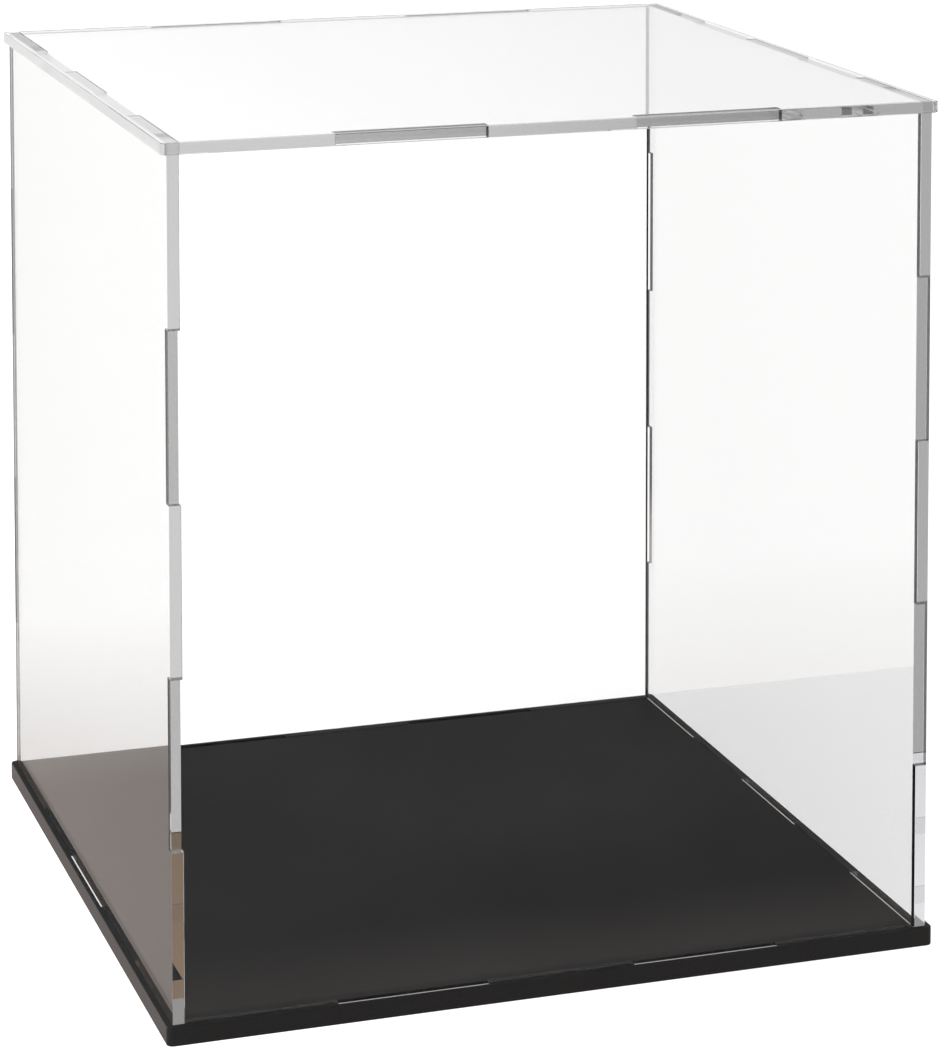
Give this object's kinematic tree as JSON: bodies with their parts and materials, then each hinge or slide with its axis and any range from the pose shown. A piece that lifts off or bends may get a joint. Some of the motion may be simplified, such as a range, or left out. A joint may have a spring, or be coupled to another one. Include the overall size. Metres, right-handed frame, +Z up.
{
  "type": "display cube",
  "caption": "Clear tab-jointed display cube with a black base board; the clear cover lifts off the base and its top board lifts off the walls.",
  "frame": {"origin": "centre of the base board's underside", "axes": "+Z up through the top board, -Y out of the front wall, +X out of the right wall"},
  "size_m": [0.2094, 0.2094, 0.228],
  "materials": {
    "base_board": "opaque black acrylic, matt faces and smooth cut edges",
    "front_wall": "clear cast acrylic, polished faces and cut edges",
    "back_wall": "clear cast acrylic, polished faces and cut edges",
    "left_wall": "clear cast acrylic, polished faces and cut edges",
    "right_wall": "clear cast acrylic, polished faces and cut edges",
    "top_board": "clear cast acrylic, polished faces and cut edges"
  },
  "bodies": {
    "base": {"base_board": "base_board"},
    "cover": {"front_wall": "front_wall", "back_wall": "back_wall", "left_wall": "left_wall", "right_wall": "right_wall"},
    "top": {"top_board": "top_board"}
  },
  "joints": [
    {"name": "cover_lift", "type": "slide", "parent": "base", "child": "cover", "axis": [0, 0, 1], "range_m": [0, 0.235]},
    {"name": "top_lift", "type": "slide", "parent": "cover", "child": "top", "axis": [0, 0, 1], "range_m": [0, 0.06]}
  ]
}
